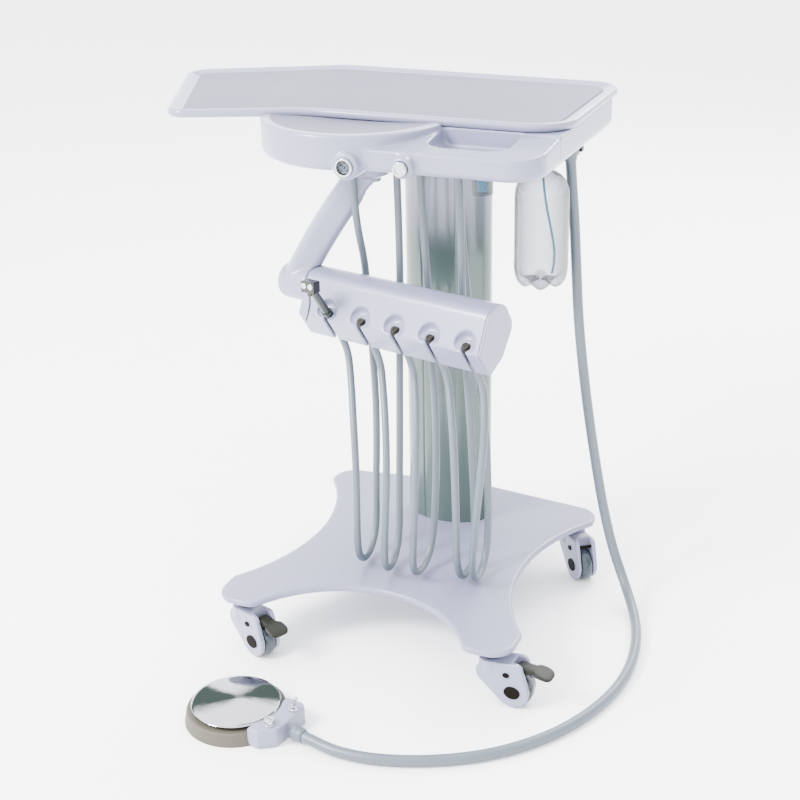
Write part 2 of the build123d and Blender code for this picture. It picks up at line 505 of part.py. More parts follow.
def make_instruments():
    connectors = []
    for index in range(1, SLOT_COUNT):
        spigot = post(SLOT_BORE_R - 0.3, -6, -1) + post(5.5, -1, 4)
        for x, y in ((-2, 0), (2, 0), (0, -2.6), (0, 2.6)):
            spigot -= post(0.9, -1, 4, x, y)
        connectors.append(slot_plane(index) * spigot)
    write("tubing_connectors", *connectors)

    frame = slot_plane(0)
    grip = post(SLOT_BORE_R - 0.4, -40, 4) + post(8.8, 4, 8) + post(6.5, 8, 62)
    back = direction(HOLDER_TURN + 90)
    seat = frame.origin + frame.z_dir * 72
    head_frame = Plane(origin=seat, x_dir=direction(HOLDER_TURN), z_dir=back * -1)
    head = frame * post(7.5, 60, 66)
    head += head_frame * Box(25, 18, 17)
    write("syringe_body", frame * grip - head)
    button_y, bore = 2.0, 5.0
    for side in (-1, 1):
        head -= head_frame * Pos(side * 6.3, button_y, 3.5) * Cylinder(bore, 10)
    nozzle_root = head_frame * Pos(0, -9, 3)
    root = nozzle_root.position
    head += rod(root, root + Vector(0, 0, -6), 4)
    head -= rod(root + Vector(0, 0, -6), root + Vector(0, 0, 3), 1.5 + FIT)
    write("syringe_head", head)
    for name, side in (("air_button", -1), ("water_button", 1)):
        button = Pos(side * 6.3, button_y, 6) * Cylinder(bore - FIT, 7.5)
        write(name, head_frame * fillet(button.faces().sort_by(Axis.Z)[-1].edges(), 1))
    nozzle_points = [root + Vector(0, 0, 2), root + Vector(0, 0, -18), root + Vector(0, 0, -30) - back * 4,
                     root + Vector(0, 0, -44) - back * 12]
    path = FilletPolyline(*nozzle_points, radius=[14, 30])
    nozzle = sweep(Plane(origin=path @ 0, z_dir=path % 0) * Circle(1.5), path=path)
    write("syringe_nozzle", nozzle)


def make_hoses():
    for index, (name, points) in enumerate(HOSE_ROUTES.items()):
        frame = slot_plane(index)
        depth = -40 if index == 0 else -6
        leaving = frame.origin + frame.z_dir * -84
        arriving = frame.origin + frame.z_dir * depth
        route = list(points) + [tuple(leaving), tuple(arriving)]
        print(name, "ends", [round(value, 1) for value in leaving], [round(value, 1) for value in arriving])
        write(name, hose(name, route, HOSE_D))
    write("foot_hose", hose("foot_hose", FOOT_HOSE_ROUTE, FOOT_HOSE_D))


# ---------------------------------------------------------------- foot control
def make_foot_control():
    place = Pos(PEDAL_X, PEDAL_Y, 0) * Rot(0, 0, PEDAL_TURN)
    base = Cone(PEDAL_R, PEDAL_R - 4, 21, align=(Align.CENTER, Align.CENTER, Align.MIN))
    base = fillet(base.faces().sort_by(Axis.Z)[-1].edges(), 3)
    base -= post(60, 6, 22)
    base += post(14, 6, 14)
    base -= post(8 + FIT, 3, 22)
    housing = Pos(81, 1, 2) * extrude(Rectangle(40, 98), amount=29)
    far_corner = housing.edges().filter_by(Axis.Z).sort_by_distance((101, 50, 16))[0]
    housing = chamfer(far_corner, 9)
    near = housing.edges().filter_by(Axis.Z).sort_by_distance((101, -48, 16))[0]
    housing = chamfer(near, 20)
    housing = fillet(housing.faces().sort_by(Axis.Z)[-1].edges(), 3)
    housing -= Cone(PEDAL_R + 0.05, PEDAL_R - 3.95, 21, align=(Align.CENTER, Align.CENTER, Align.MIN))
    housing -= post(DISC_R + 3, 20, 40)
    hose_end = Vector(*FOOT_HOSE_ROUTE[-1])
    to_next = (Vector(*FOOT_HOSE_ROUTE[-2]) - hose_end).normalized()
    bore = rod(hose_end - to_next * 2, hose_end + to_next * 60, FOOT_HOSE_D / 2)
    relief = rod(hose_end - to_next * 14, hose_end + to_next * 16, 12.5)
    write("pedal_base", place * base)
    placed_housing = place * housing
    write("pedal_housing", placed_housing)
    relief = relief - bore - placed_housing
    relief = max(relief.solids(), key=lambda solid: solid.volume)

    dome_r = (DISC_R ** 2 + DISC_DOME ** 2) / (2 * DISC_DOME)
    disc = post(DISC_R, DISC_LOW, DISC_LOW + DISC_EDGE + DISC_DOME)
    disc &= Pos(0, 0, DISC_LOW + DISC_EDGE + DISC_DOME - dome_r) * Sphere(dome_r)
    disc -= post(DISC_R - 3, DISC_LOW, DISC_LOW + DISC_EDGE - 1) - post(12, DISC_LOW, DISC_LOW + DISC_EDGE)
    disc += post(8, 9, DISC_LOW)
    write("pedal_disc", place * disc)

    knob_at, toggle_at = (84, -22), (90, 27)
    collars = [post(8.5, 31, 34, *knob_at) - post(3 + FIT, 31, 34, *knob_at),
               Pos(*toggle_at, 31) * extrude(RegularPolygon(8, 6), amount=4) + post(5.5, 35, 38, *toggle_at)
               - post(3.2, 34, 38, *toggle_at)]
    write("pedal_fittings", *[place * piece for piece in collars], relief)
    knob = post(8, 34, 41, *knob_at) + post(3, 31.1, 34, *knob_at)
    knob = fillet(knob.faces().sort_by(Axis.Z)[-1].edges(), 1)
    knob -= Pos(*knob_at, 41) * Box(12, 2, 3)
    write("pedal_knob", place * knob)
    x, y = toggle_at
    ball = (x, y, 37)
    lever = Pos(*ball) * Sphere(2.6) + rod(ball, (x + 6, y, 53), 1.9) + Pos(x + 6, y, 53) * Sphere(3.2)
    write("pedal_toggle", place * lever)


if __name__ == "__main__":
    make_base()
    make_casters()
    make_tray()
    make_body()
    make_gauge_and_knob()
    make_water_parts()
    make_arm()
    make_holder()
    make_instruments()
    make_hoses()
    make_foot_control()
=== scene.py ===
"""Looks of the dental delivery cart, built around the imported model.

Metres, +Z up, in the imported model's frame. The cart's own layout is centred on its base plate,
which stands at BASE, so hose routes and outlines are given from there.
"""
import bpy
import bmesh
import contextlib
import json
import math
from mathutils import Matrix, Vector


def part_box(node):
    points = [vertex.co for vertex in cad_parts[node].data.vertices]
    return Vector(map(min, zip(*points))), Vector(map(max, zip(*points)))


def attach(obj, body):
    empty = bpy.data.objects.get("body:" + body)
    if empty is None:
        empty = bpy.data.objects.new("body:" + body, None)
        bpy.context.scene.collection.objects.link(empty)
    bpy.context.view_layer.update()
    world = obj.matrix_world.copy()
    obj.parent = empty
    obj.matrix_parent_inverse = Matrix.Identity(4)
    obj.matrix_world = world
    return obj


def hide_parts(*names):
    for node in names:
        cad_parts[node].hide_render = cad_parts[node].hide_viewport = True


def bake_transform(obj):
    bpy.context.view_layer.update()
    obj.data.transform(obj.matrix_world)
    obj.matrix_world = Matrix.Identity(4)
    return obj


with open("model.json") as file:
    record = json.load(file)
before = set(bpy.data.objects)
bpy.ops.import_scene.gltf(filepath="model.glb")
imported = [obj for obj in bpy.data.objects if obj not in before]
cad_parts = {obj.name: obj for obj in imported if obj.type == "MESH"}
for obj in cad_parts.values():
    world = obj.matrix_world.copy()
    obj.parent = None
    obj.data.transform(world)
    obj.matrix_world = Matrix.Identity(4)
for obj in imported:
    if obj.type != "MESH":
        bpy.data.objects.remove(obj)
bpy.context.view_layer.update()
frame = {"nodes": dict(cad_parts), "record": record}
NODES = frame["nodes"]
BEHAVIOUR = frame["record"]["behaviour"]
BODY_OF = {node: body for body, nodes in BEHAVIOUR["bodies"].items() for node in nodes}
SLOT_OF = {part["node"]: part["material_slot"] for part in frame["record"]["subparts"]}
JOINTS = {joint["name"]: joint for joint in BEHAVIOUR["joints"]}

BASE = Vector((0.0945, 0.0648, 0.0))        # the base plate's centre, on the floor

CAMERA_AT = (0.95631, -2.01847, 1.35121)
CAMERA_AZIMUTH, CAMERA_PITCH, CAMERA_ROLL = 23.04, 23.22, 1.13      # degrees
CAMERA_LENS, SENSOR_WIDTH = 67.5, 36        # millimetres

SKY, SKY_DARK = (0.96, 0.97, 1.0, 1), (0.05, 0.07, 0.06, 1)
SKY_LEFT, SKY_RIGHT = 8.6, 3.8              # the studio is brighter on its left
SKY_BAND = [(0.0, 0), (0.34, 0), (0.40, 1), (0.56, 1), (0.62, 0)]   # dark band: height, share

HOSE_R, FOOT_HOSE_R, PICKUP_R = 0.006, 0.0085, 0.002

# Routes of the hoses' centre lines, from the base's centre, from the head to the far end.
HOSE_ROUTES = {
    "hose_1": [(-.098, 0, .784), (-.097, .001, .728), (-.098, .014, .662), (-.099, .042, .597),
               (-.101, .054, .525), (-.094, .050, .448), (-.082, .033, .370), (-.073, .012, .294),
               (-.068, -.008, .218), (-.066, -.014, .148), (-.064, -.042, .117),
               (-.061, -.083, .117), (-.058, -.111, .146), (-.057, -.112, .222),
               (-.064, -.094, .295), (-.078, -.068, .355), (-.099, -.026, .412),
               (-.1161, .0017, .4634), (-.1218, -.0228, .4995)],
    "hose_2": [(-.040, .040, .784), (-.039, .041, .728), (-.038, .042, .640), (-.037, .040, .550),
               (-.037, .033, .460), (-.033, .020, .380), (-.027, .002, .300), (-.020, -.020, .222),
               (-.017, -.030, .148), (-.014, -.058, .117), (-.009, -.099, .117),
               (-.004, -.127, .146), (0, -.128, .222), (-.003, -.110, .295), (-.014, -.084, .355),
               (-.032, -.048, .410), (-.0518, -.0134, .4634), (-.062, -.0568, .5274)],
    "hose_3": [(.004, .028, .784), (.006, .029, .728), (.011, .03, .64), (.018, .027, .55),
               (.025, .019, .46), (.035, .008, .38), (.042, -.006, .3), (.045, -.02, .222),
               (.043, -.028, .148), (.041, -.054, .117), (.04, -.095, .117), (.044, -.123, .146),
               (.049, -.125, .222), (.047, -.112, .295), (.042, -.093, .355), (.03, -.062, .412),
               (.0124, -.0284, .4634), (.0023, -.0719, .5274)],
    "hose_4": [(.074, .016, .784), (.075, .017, .728), (.077, .018, .64), (.08, .014, .55),
               (.088, .008, .46), (.098, -.001, .38), (.106, -.01, .3), (.112, -.018, .222),
               (.113, -.016, .148), (.114, -.04, .117), (.115, -.08, .117), (.116, -.108, .146),
               (.116, -.112, .222), (.113, -.108, .295), (.106, -.095, .355), (.094, -.074, .412),
               (.0767, -.0435, .4634), (.0665, -.087, .5274)],
    "hose_5": [(.056, .064, .784), (.057, .065, .728), (.062, .062, .645), (.074, .051, .565),
               (.092, .034, .485), (.111, .018, .405), (.126, .004, .325), (.134, -.011, .24),
               (.135, -.014, .152), (.136, -.04, .119), (.138, -.081, .118), (.141, -.109, .147),
               (.147, -.114, .222), (.154, -.112, .295), (.157, -.102, .355), (.154, -.084, .412),
               (.141, -.0586, .4634), (.1308, -.102, .5274)],
}
FOOT_HOSE_ROUTE = [(.210, .150, .776), (.213, .156, .722), (.217, .162, .660), (.223, .159, .585),
                   (.231, .152, .500), (.242, .150, .415), (.253, .156, .328), (.266, .162, .242),
                   (.281, .165, .160), (.302, .160, .085), (.332, .138, .032), (.366, .078, .010),
                   (.390, 0, .0095), (.400, -.095, .0095), (.385, -.190, .0095),
                   (.344, -.285, .0095), (.280, -.362, .0095), (.205, -.412, .0095),
                   (.125, -.442, .0095), (.062, -.449, .010), (.018, -.442, .012),
                   (-.020, -.4335, .016)]
# The pickup tube's route, from the bottle's axis.
PICKUP_ROUTE = [(0, 0, .776), (.001, 0, .740), (.006, .002, .700), (.016, .004, .655),
                (.024, .002, .612), (.020, -.004, .590)]

# Corners of the tray's outline from the base's centre, each with its radius.
TRAY_CORNERS = [((-.382, -.075), .032), ((-.518, .236), .045), ((-.265, .361), .090),
                ((.242, .350), .055), ((.245, .007), .070), ((-.171, .007), .150)]


# ---------------------------------------------------------------- shader nodes
MIX_FACTOR, MIX_A, MIX_B, MIX_RESULT = 0, 6, 7, 2       # sockets of a Mix node that mixes colours


def add_node(tree, kind, **values):
    """A shader node; an input's value is given by its name, with underscores for spaces."""
    node = tree.nodes.new("ShaderNode" + kind)
    for name, value in values.items():
        node.inputs[name.replace("_", " ")].default_value = value
    return node


def add_colour_mix(tree, first, second=None, blend="MIX"):
    mix = add_node(tree, "Mix")
    mix.data_type, mix.blend_type = "RGBA", blend
    mix.inputs[MIX_A].default_value = first
    if second:
        mix.inputs[MIX_B].default_value = second
    return mix


# ---------------------------------------------------------------- camera, stage and light
def add_camera():
    azimuth, pitch, roll = map(math.radians, (CAMERA_AZIMUTH, CAMERA_PITCH, CAMERA_ROLL))
    forward = Vector((-math.sin(azimuth) * math.cos(pitch), math.cos(azimuth) * math.cos(pitch),
                      -math.sin(pitch)))
    level = Vector((math.cos(azimuth), math.sin(azimuth), 0))
    down = forward.cross(level)
    right = level * math.cos(roll) + down * math.sin(roll)
    lower = down * math.cos(roll) - level * math.sin(roll)
    data = bpy.data.cameras.new("camera")
    data.sensor_width, data.lens = SENSOR_WIDTH, CAMERA_LENS
    data.clip_end = 200
    camera = bpy.data.objects.new("camera", data)
    bpy.context.scene.collection.objects.link(camera)
    turn = Matrix((right, -lower, -forward)).transposed()
    camera.matrix_world = Matrix.Translation(CAMERA_AT) @ turn.to_4x4()
    bpy.context.scene.camera = camera


def area_light(name, place, aim, size, watts, colour=(1, 1, 1)):
    data = bpy.data.lights.new(name, "AREA")
    data.shape, data.size, data.energy, data.color = "DISK", size, watts, colour
    light = bpy.data.objects.new(name, data)
    bpy.context.scene.collection.objects.link(light)
    light.location = place
    light.rotation_euler = (Vector(aim) - Vector(place)).to_track_quat("-Z", "Y").to_euler()


def add_floor():
    bpy.ops.mesh.primitive_plane_add(size=80, location=(0, 20, 0))
    floor = bpy.context.object
    floor.name = "floor"
    floor.data.materials.append(finish("floor_paint", (0.93, 0.93, 0.935), 0.7, mottle=0.01))


def add_sky():
    """A pale sky, brighter on the left, with dark patches in a band for the chrome to reflect."""
    world = bpy.data.worlds.new("studio")
    world.use_nodes = True
    tree = world.node_tree
    link = tree.links.new
    background = tree.nodes["Background"]
    place = add_node(tree, "TexCoord")
    split = add_node(tree, "SeparateXYZ")
    link(place.outputs["Generated"], split.inputs[0])

    band = add_node(tree, "ValToRGB")
    stops = band.color_ramp.elements
    while len(stops) < len(SKY_BAND):
        stops.new(1)
    for stop, (position, value) in zip(stops, SKY_BAND):
        stop.position, stop.color = position, (value, value, value, 1)
    link(split.outputs["Z"], band.inputs[0])

    patches = add_node(tree, "TexNoise", Scale=2.2)
    edges = add_node(tree, "MapRange", From_Min=0.46, From_Max=0.52)
    link(place.outputs["Generated"], patches.inputs["Vector"])
    link(patches.outputs["Fac"], edges.inputs["Value"])

    dark = add_node(tree, "Math")
    dark.operation = "MULTIPLY"
    sky = add_colour_mix(tree, SKY, SKY_DARK)
    link(band.outputs[0], dark.inputs[0])
    link(edges.outputs[0], dark.inputs[1])
    link(dark.outputs[0], sky.inputs[MIX_FACTOR])
    link(sky.outputs[MIX_RESULT], background.inputs["Color"])

    sideways = add_node(tree, "MapRange", From_Min=-1, To_Min=SKY_LEFT, To_Max=SKY_RIGHT)
    link(split.outputs["X"], sideways.inputs["Value"])
    link(sideways.outputs[0], background.inputs["Strength"])
    bpy.context.scene.world = world


def add_lights():
    area_light("key", (-2.0, -2.5, 2.9), (0, 0, 0.5), 1.4, 560)
    area_light("fill", (2.6, -1.2, 1.8), (0, 0, 0.5), 2.0, 20, (0.95, 0.97, 1.0))
    area_light("back", (0.6, 2.8, 2.6), (0, 0, 0.6), 2.0, 200)


# ---------------------------------------------------------------- materials
def finish(name, colour, roughness, metallic=0.0, mottle=0.03, mottle_scale=8.0, grain=0.0,
           grain_scale=900.0, coat=0.0, stretch=(1, 1, 1), low_reflection_tint=None, low_z=(0.0, 1.0),
           specular=0.5):
    """Principled surface whose colour, roughness and fine relief vary by noise.

    The noise lies in the object's own space. Where low_reflection_tint is given, the colour runs
    from it at the height low_z[0] to colour at the height low_z[1]: a painted reflection, darker
    low down.
    """
    material = bpy.data.materials.new(name)
    material.use_nodes = True
    tree = material.node_tree
    link = tree.links.new
    surface = tree.nodes["Principled BSDF"]
    place = add_node(tree, "TexCoord")
    mapping = add_node(tree, "Mapping", Scale=stretch)
    link(place.outputs["Object"], mapping.inputs["Vector"])

    cloud = add_node(tree, "TexNoise", Scale=mottle_scale, Detail=4)
    shade = add_node(tree, "MapRange", To_Min=1 - mottle, To_Max=1 + mottle)
    tint = add_colour_mix(tree, (*colour, 1), blend="MULTIPLY")
    tint.inputs[MIX_FACTOR].default_value = 1.0
    link(mapping.outputs[0], cloud.inputs["Vector"])
    link(cloud.outputs["Fac"], shade.inputs["Value"])
    link(shade.outputs[0], tint.inputs[MIX_B])
    if low_reflection_tint:
        split = add_node(tree, "SeparateXYZ")
        height = add_node(tree, "MapRange", From_Min=low_z[0], From_Max=low_z[1])
        by_height = add_colour_mix(tree, (*low_reflection_tint, 1), (*colour, 1))
        link(place.outputs["Object"], split.inputs[0])
        link(split.outputs["Z"], height.inputs["Value"])
        link(height.outputs[0], by_height.inputs[MIX_FACTOR])
        link(by_height.outputs[MIX_RESULT], tint.inputs[MIX_A])
    link(tint.outputs[MIX_RESULT], surface.inputs["Base Color"])

    rough = add_node(tree, "MapRange", To_Min=max(0.02, roughness * 0.85),
                     To_Max=min(1.0, roughness * 1.15))
    link(cloud.outputs["Fac"], rough.inputs["Value"])
    link(rough.outputs[0], surface.inputs["Roughness"])
    surface.inputs["Metallic"].default_value = metallic
    surface.inputs["Coat Weight"].default_value = coat
    surface.inputs["Coat Roughness"].default_value = 0.12
    surface.inputs["Specular IOR Level"].default_value = specular
    if grain:
        fine = add_node(tree, "TexNoise", Scale=grain_scale, Detail=3)
        relief = add_node(tree, "Bump", Strength=grain, Distance=0.0004)
        link(mapping.outputs[0], fine.inputs["Vector"])
        link(fine.outputs["Fac"], relief.inputs["Height"])
        link(relief.outputs[0], surface.inputs["Normal"])
    return material


def clear_finish(name, tint, facing_gloss, edge_gloss):
    """Clear thin plastic: mostly see-through, glossier where it is seen at a low angle.

    The glossy part has a dark share of the tint and the see-through part a pale one.
    """
    gloss_share, pale_share = 0.18, 0.5
    material = bpy.data.materials.new(name)
    material.use_nodes = True
    tree = material.node_tree
    link = tree.links.new
    surface = tree.nodes["Principled BSDF"]
    surface.inputs["Base Color"].default_value = (*[value * gloss_share for value in tint], 1)
    surface.inputs["Roughness"].default_value = 0.06
    pale = (*[1 - pale_share * (1 - value) for value in tint], 1)
    see_through = add_node(tree, "BsdfTransparent", Color=pale)
    facing = add_node(tree, "LayerWeight", Blend=0.35)
    share = add_node(tree, "MapRange", To_Min=facing_gloss, To_Max=edge_gloss)
    waves = add_node(tree, "TexNoise", Scale=25)
    relief = add_node(tree, "Bump", Strength=0.15, Distance=0.002)
    mix = add_node(tree, "MixShader")
    link(waves.outputs["Fac"], relief.inputs["Height"])
    link(relief.outputs[0], surface.inputs["Normal"])
    link(facing.outputs["Facing"], share.inputs["Value"])
    link(share.outputs[0], mix.inputs[0])
    link(see_through.outputs[0], mix.inputs[1])
    link(surface.outputs[0], mix.inputs[2])
    link(mix.outputs[0], tree.nodes["Material Output"].inputs["Surface"])
    return material


# One finish for each material slot of the record.
MATERIALS = {
    "white_plastic": finish("white_plastic_gloss", (0.172, 0.178, 0.262), 0.30, grain=0.08,
                            coat=0.20),
    "white_paint": finish("white_powder_coat", (0.160, 0.164, 0.244), 0.34, grain=0.20,
                          grain_scale=600, coat=0.10),
    "grey_mat": finish("grey_mat_rubber", (0.090, 0.090, 0.132), 0.50, grain=0.30,
                       grain_scale=1400, specular=0.3),
    # the column's lower part is tinted darker and greener: a painted reflection
    "column_finish": finish("column_silver", (0.145, 0.157, 0.200), 0.26, metallic=0.25,
                            mottle=0.05, stretch=(1, 1, 0.05), grain=0.10, coat=0.3,
                            low_reflection_tint=(0.048, 0.074, 0.068), low_z=(0.60, 0.70)),
    "chrome": finish("chrome_polish", (0.42, 0.42, 0.44), 0.07, metallic=1.0, mottle=0.02),
    "steel": finish("plated_steel", (0.20, 0.21, 0.21), 0.30, metallic=1.0, grain=0.2),
    "black_plastic": finish("black_plastic_matt", (0.004, 0.003, 0.002), 0.55, grain=0.2,
                            specular=0.03),
    "olive_plastic": finish("olive_plastic_matt", (0.009, 0.010, 0.0065), 0.45, mottle=0.10,
                            grain=0.3, specular=0.15),
    "wheel_grey": finish("wheel_grey_gloss", (0.020, 0.030, 0.038), 0.20, mottle=0.06, coat=0.2,
                         specular=0.3),
    "hose_grey": finish("hose_silicone", (0.066, 0.083, 0.103), 0.40, mottle=0.05,
                        mottle_scale=30, grain=0.15),
    "clear_plastic": clear_finish("clear_bottle", (0.70, 0.72, 0.76), 0.10, 0.80),
    "filter_blue": finish("filter_sinter", (0.015, 0.17, 0.27), 0.6, mottle=0.15,
                          mottle_scale=400, grain=0.5),
    "tube_blue": finish("tube_aqua", (0.03, 0.20, 0.28), 0.25, coat=0.4),
    "dial_white": finish("dial_print", (0.09, 0.11, 0.145), 0.4, specular=0.3),
    "beige_rubber": finish("beige_rubber_ring", (0.058, 0.052, 0.039), 0.6, mottle=0.08,
                           grain=0.3, specular=0.3),
    "valve_metal": finish("valve_aluminium", (0.30, 0.30, 0.32), 0.4, metallic=0.9, grain=0.3),
    "dark_metal": finish("dark_plated_metal", (0.055, 0.052, 0.040), 0.32, metallic=0.9,
                         mottle=0.10, grain=0.3),
}
DISC_CHROME = finish("chrome_pressed", (0.30, 0.30, 0.32), 0.04, metallic=1.0, mottle=0.02,
                     grain=0.9, grain_scale=16)
HEAD_CHROME = finish("chrome_cast", (0.055, 0.055, 0.052), 0.12, metallic=1.0, mottle=0.25,
                     mottle_scale=160)
LENS = clear_finish("clear_lens", (0.90, 0.91, 0.93), 0.03, 0.35)
HANDLE_METAL = finish("handle_satin", (0.070, 0.080, 0.077), 0.28, metallic=0.8, mottle=0.08,
                      grain=0.2)


# ---------------------------------------------------------------- mesh helpers
def at(x, y, z):
    """A point given from the base's centre."""
    return BASE + Vector((x, y, z))


def turns(steps):
    """Angles once round a circle."""
    return [math.tau * step / steps for step in range(steps)]


@contextlib.contextmanager
def editing(mesh):
    """The mesh as a bmesh, written back at the end of the with block."""
    solid = bmesh.new()
    solid.from_mesh(mesh)
    yield solid
    solid.to_mesh(mesh)
    solid.free()


def weld(solid):
    bmesh.ops.remove_doubles(solid, verts=solid.verts, dist=1e-6)


def shade_smooth(mesh):
    mesh.polygons.foreach_set("use_smooth", [True] * len(mesh.polygons))


def apply_modifiers(piece):
    bpy.context.view_layer.update()
    shape = piece.evaluated_get(bpy.context.evaluated_depsgraph_get())
    mesh = bpy.data.meshes.new_from_object(shape)
    piece.modifiers.clear()
    piece.data = mesh


def mesh_piece(name, points, faces):
    mesh = bpy.data.meshes.new(name)
    mesh.from_pydata([tuple(point) for point in points], [], faces)
    mesh.validate()
    with editing(mesh) as solid:
        weld(solid)
        bmesh.ops.recalc_face_normals(solid, faces=solid.faces)
    shade_smooth(mesh)
    piece = bpy.data.objects.new(name, mesh)
    bpy.context.scene.collection.objects.link(piece)
    return piece


def keep_creases(piece, degrees):
    """Marks edges sharper than this as sharp, so that flats stay flat beside rounds."""
    limit = math.radians(degrees)
    with editing(piece.data) as solid:
        for edge in solid.edges:
            edge.smooth = edge.calc_face_angle(0) < limit


def loft(name, rings, close_ends=True):
    """Skin over closed rings of equal point count; close_ends fills the first and last ring."""
    count = len(rings[0])
    points = [point for ring in rings for point in ring]
    faces = []
    for level in range(len(rings) - 1):
        for step in range(count):
            after = (step + 1) % count
            faces.append((level * count + step, level * count + after,
                          (level + 1) * count + after, (level + 1) * count + step))
    if close_ends:
        faces.append(tuple(range(count)))
        faces.append(tuple(range((len(rings) - 1) * count, len(rings) * count)))
    return mesh_piece(name, points, faces)


def lathe(name, profile, place, steps=72, hollow=False):
    """Turns (radius, height) points about the local Z of the matrix place.

    hollow joins the profile's end to its start, which keeps the hole through the piece.
    """
    rings = [[place @ Vector((radius * math.cos(turn), radius * math.sin(turn), height))
              for turn in turns(steps)] for radius, height in profile]
    if hollow:
        return loft(name, rings + [rings[0]], close_ends=False)
    return loft(name, rings)


def rounded_outline(corners, steps=14):
    """Points and outward normals of a polygon with rounded corners, in either direction."""
    count = len(corners)
    area = 0
    for i, (here, _) in enumerate(corners):
        after = corners[(i + 1) % count][0]
        area += here[0] * after[1] - after[0] * here[1]
    winding = 1 if area > 0 else -1
    points, normals = [], []
    for i, (corner, radius) in enumerate(corners):
        here = Vector(corner)
        to_before = (Vector(corners[i - 1][0]) - here).normalized()
        to_after = (Vector(corners[(i + 1) % count][0]) - here).normalized()
        half = to_before.angle(to_after) / 2
        middle = here + (to_before + to_after).normalized() * radius / math.sin(half)
        start = here + to_before * radius / math.tan(half)
        end = here + to_after * radius / math.tan(half)
        bend = to_before.x * to_after.y - to_before.y * to_after.x
        convex = 1 if bend * winding < 0 else -1
        turn_from = math.atan2(*(start - middle).yx)
        turn_by = math.atan2(*(end - middle).yx) - turn_from
        turn_by = (turn_by + math.pi) % math.tau - math.pi
        for step in range(steps + 1):
            turn = turn_from + turn_by * step / steps
            spoke = Vector((math.cos(turn), math.sin(turn)))
            points.append(middle + spoke * radius)
            normals.append(spoke * convex)
    return points, normals


def route_line(name, route, shift):
    """Points read from the smooth NURBS line whose control points are the route."""
    curve = bpy.data.curves.new(name + "_line", "CURVE")
    curve.dimensions = "3D"
    spline = curve.splines.new("NURBS")
    spline.points.add(len(route) - 1)
    for point, place in zip(spline.points, route):
        point.co = (*(shift + Vector(place)), 1)
    spline.order_u = 3
    spline.use_endpoint_u = True
    spline.resolution_u = 8
    holder = bpy.data.objects.new(name + "_line", curve)
    bpy.context.scene.collection.objects.link(holder)
    line = [vertex.co.copy() for vertex in bpy.data.meshes.new_from_object(holder).vertices]
    bpy.data.objects.remove(holder)
    return line


def tube(name, line, radius, sides=20):
    """Closed tube along a line, with a frame carried along it without twist."""
    last = len(line) - 1
    ahead = [(line[min(i + 1, last)] - line[max(i - 1, 0)]).normalized() for i in range(last + 1)]
    side = ahead[0].orthogonal().normalized()
    rings = []
    for here, along in zip(line, ahead):
        side = (side - along * side.dot(along)).normalized()
        up = along.cross(side)
        rings.append([here + (side * math.cos(turn) + up * math.sin(turn)) * radius
                      for turn in turns(sides)])
    return loft(name, rings)


# ---------------------------------------------------------------- frame helpers
def box_middle(node):
    low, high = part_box(node)
    return (low + high) / 2


def box_radius(node):
    low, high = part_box(node)
    return (high.x - low.x) / 2


def give_slot(piece, slot):
    piece.data.materials.clear()
    piece.data.materials.append(MATERIALS[slot])


def stand_for(piece, node):
    """The piece replaces this CAD node and takes its material slot."""
    give_slot(piece, SLOT_OF[node])
    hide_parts(node)
    return piece


def place_on(piece, body, slot):
    """An added piece on a body, with the finish of a slot."""
    give_slot(piece, slot)
    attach(piece, body)
    return piece


def moulded(node, voxel, rounds):
    """A node's shape with its edges softened the way a moulding's are."""
    piece = bpy.data.objects.new(node + "_moulding", NODES[node].data.copy())
    bpy.context.scene.collection.objects.link(piece)
    with editing(piece.data) as solid:
        weld(solid)
    remesh = piece.modifiers.new("voxels", "REMESH")
    remesh.mode, remesh.voxel_size = "VOXEL", voxel
    smooth = piece.modifiers.new("rounds", "SMOOTH")
    smooth.factor, smooth.iterations = 0.5, rounds
    apply_modifiers(piece)
    shade_smooth(piece.data)
    stand_for(piece, node)
    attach(piece, BODY_OF[node])
    return piece


# ---------------------------------------------------------------- hoses
def make_instrument_hoses():
    """Five hoses from the cart's head to the holder."""
    for name, route in HOSE_ROUTES.items():
        line = route_line(name, route, BASE)
        piece = stand_for(tube(name + "_tube", line, HOSE_R), name)
        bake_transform(piece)


def make_foot_hose():
    line = route_line("foot_hose", FOOT_HOSE_ROUTE, BASE)
    piece = stand_for(tube("foot_hose_tube", line, FOOT_HOSE_R, sides=28), "foot_hose")
    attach(piece, "cart")


# ---------------------------------------------------------------- tray
def make_tray():
    """Rim profile from the underside's edge, round the outside and over the top to the mat."""
    low, high = (corner.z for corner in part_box("tray"))
    depth = high - low
    profile = [(.016, 0), (.008, .0002), (.0035, .0010), (.0012, .0028), (.0003, .0055),
               (0, .0085), (.0006, depth - .0030), (.0022, depth - .0010),
               (.0050, depth - .0001), (.0085, depth - .0003), (.0125, depth - .0013),
               (.0165, depth - .0032), (.0200, depth - .0050), (.0230, depth - .0058),
               (.0260, depth - .0060)]                  # inset from the outline, rise
    points, normals = rounded_outline(TRAY_CORNERS)
    rings = [[at(p.x - n.x * inset, p.y - n.y * inset, low + rise)
              for p, n in zip(points, normals)] for inset, rise in profile]
    piece = loft("tray_moulding", rings)
    keep_creases(piece, 40)
    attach(stand_for(piece, "tray"), "cart")


